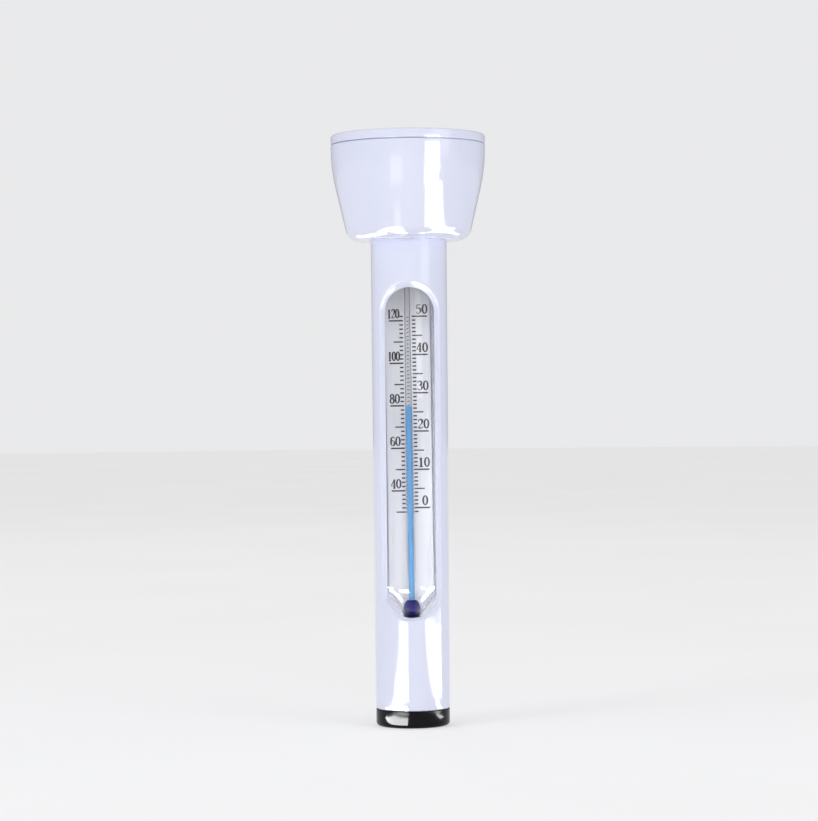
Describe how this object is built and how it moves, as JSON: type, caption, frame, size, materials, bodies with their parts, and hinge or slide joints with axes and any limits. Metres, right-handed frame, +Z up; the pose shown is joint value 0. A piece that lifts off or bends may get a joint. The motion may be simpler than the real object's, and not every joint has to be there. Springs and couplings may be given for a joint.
{
  "type": "floating pool thermometer",
  "caption": "Upright floating thermometer: tapered float on a slim windowed tube, with a clear scale insert whose liquid thread rises with the water's warmth.",
  "frame": {"origin": "centre of the end cap's flat underside", "axes": "+Z up along the tube, -Y out of the sight window, +X to the right of the scale"},
  "size_m": [0.0406, 0.0406, 0.1552],
  "materials": {
    "white_shell": "glossy moulded",
    "black_cap": "glossy moulded",
    "black_rubber": "satin",
    "steel": "turned",
    "foam": "open foam",
    "clear_sheath": "clear",
    "white_plug": "matte",
    "scale_strip": "satin silver-white",
    "capillary_glass": "clear",
    "bulb_dye": "liquid",
    "thread_dye": "liquid"
  },
  "bodies": {
    "housing": {"outer_tube": "white_shell", "float_cup": "white_shell", "float_lid": "white_shell", "lid_seal_ring": "black_rubber", "end_cap": "black_cap", "cap_seal_ring": "black_rubber", "ballast_weight": "steel", "bulb_seat": "black_rubber", "upper_pad": "foam", "sheath_tube": "clear_sheath", "sheath_plug": "white_plug", "plug_seal_ring": "black_rubber", "scale_plate": "scale_strip", "capillary_tube": "capillary_glass", "capillary_clip": "white_plug", "bulb_liquid": "bulb_dye"},
    "indicator": {"indicator_column": "thread_dye"}
  },
  "joints": [
    {"name": "indicator_rise", "type": "slide", "parent": "housing", "child": "indicator", "axis": [-0.007, 0, 1], "range_m": [-0.0278, 0.0233], "deforming": ["indicator_column"]}
  ]
}
